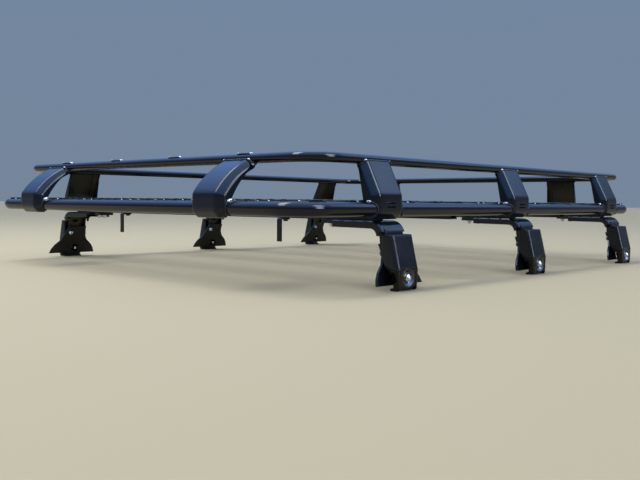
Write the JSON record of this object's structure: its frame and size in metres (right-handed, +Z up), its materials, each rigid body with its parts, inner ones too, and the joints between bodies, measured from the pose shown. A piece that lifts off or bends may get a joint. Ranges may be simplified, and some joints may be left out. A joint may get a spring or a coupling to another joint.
{
  "type": "roof rack",
  "caption": "Black tubular steel roof rack with a mesh floor, standing on bracket legs with hinged gutter clamps.",
  "frame": {"origin": "on the floor under the middle of the rack, which stands on its six clamps", "axes": "+X to the left side of the vehicle, -Y to its front, +Z up"},
  "size_m": [1.445, 1.7062, 0.3001],
  "materials": {
    "gloss_black": "gloss",
    "floor_black": "satin",
    "leg_black": "gloss",
    "clamp_black": "satin",
    "bright_steel": "polished"
  },
  "bodies": {
    "rack": {"arm_left_1": "leg_black", "arm_left_2": "leg_black", "arm_left_3": "leg_black", "arm_right_1": "leg_black", "arm_right_2": "leg_black", "arm_right_3": "leg_black", "cross_bar_1": "gloss_black", "cross_bar_2": "gloss_black", "cross_bar_3": "gloss_black", "cross_bar_4": "gloss_black", "cross_bar_5": "gloss_black", "floor_lower": "floor_black", "floor_upper": "floor_black", "foot_left_1": "leg_black", "foot_left_2": "leg_black", "foot_left_3": "leg_black", "foot_right_1": "leg_black", "foot_right_2": "leg_black", "foot_right_3": "leg_black", "lower_rail": "gloss_black", "post_front_left": "gloss_black", "post_front_right": "gloss_black", "post_left_1": "gloss_black", "post_left_2": "gloss_black", "post_left_3": "gloss_black", "post_rear_left": "gloss_black", "post_rear_right": "gloss_black", "post_right_1": "gloss_black", "post_right_2": "gloss_black", "post_right_3": "gloss_black", "stay_left": "leg_black", "stay_right": "leg_black", "upper_rail": "gloss_black"},
    "jaw_left_1": {"clamp_left_1": "clamp_black", "bolt_left_1": "bright_steel"},
    "jaw_left_2": {"clamp_left_2": "clamp_black", "bolt_left_2": "bright_steel"},
    "jaw_left_3": {"clamp_left_3": "clamp_black", "bolt_left_3": "bright_steel"},
    "jaw_right_1": {"clamp_right_1": "clamp_black", "bolt_right_1": "bright_steel"},
    "jaw_right_2": {"clamp_right_2": "clamp_black", "bolt_right_2": "bright_steel"},
    "jaw_right_3": {"clamp_right_3": "clamp_black", "bolt_right_3": "bright_steel"}
  },
  "joints": [
    {"name": "jaw_left_1_hinge", "type": "hinge", "parent": "rack", "child": "jaw_left_1", "pos_m": [0.692, -0.555, 0.108], "axis": [0, -1, 0], "range_deg": [0, 9]},
    {"name": "jaw_left_2_hinge", "type": "hinge", "parent": "rack", "child": "jaw_left_2", "pos_m": [0.692, 0.042, 0.108], "axis": [0, -1, 0], "range_deg": [0, 9]},
    {"name": "jaw_left_3_hinge", "type": "hinge", "parent": "rack", "child": "jaw_left_3", "pos_m": [0.692, 0.639, 0.108], "axis": [0, -1, 0], "range_deg": [0, 9]},
    {"name": "jaw_right_1_hinge", "type": "hinge", "parent": "rack", "child": "jaw_right_1", "pos_m": [-0.692, -0.555, 0.108], "axis": [0, 1, 0], "range_deg": [0, 9]},
    {"name": "jaw_right_2_hinge", "type": "hinge", "parent": "rack", "child": "jaw_right_2", "pos_m": [-0.692, 0.042, 0.108], "axis": [0, 1, 0], "range_deg": [0, 9]},
    {"name": "jaw_right_3_hinge", "type": "hinge", "parent": "rack", "child": "jaw_right_3", "pos_m": [-0.692, 0.639, 0.108], "axis": [0, 1, 0], "range_deg": [0, 9]}
  ]
}
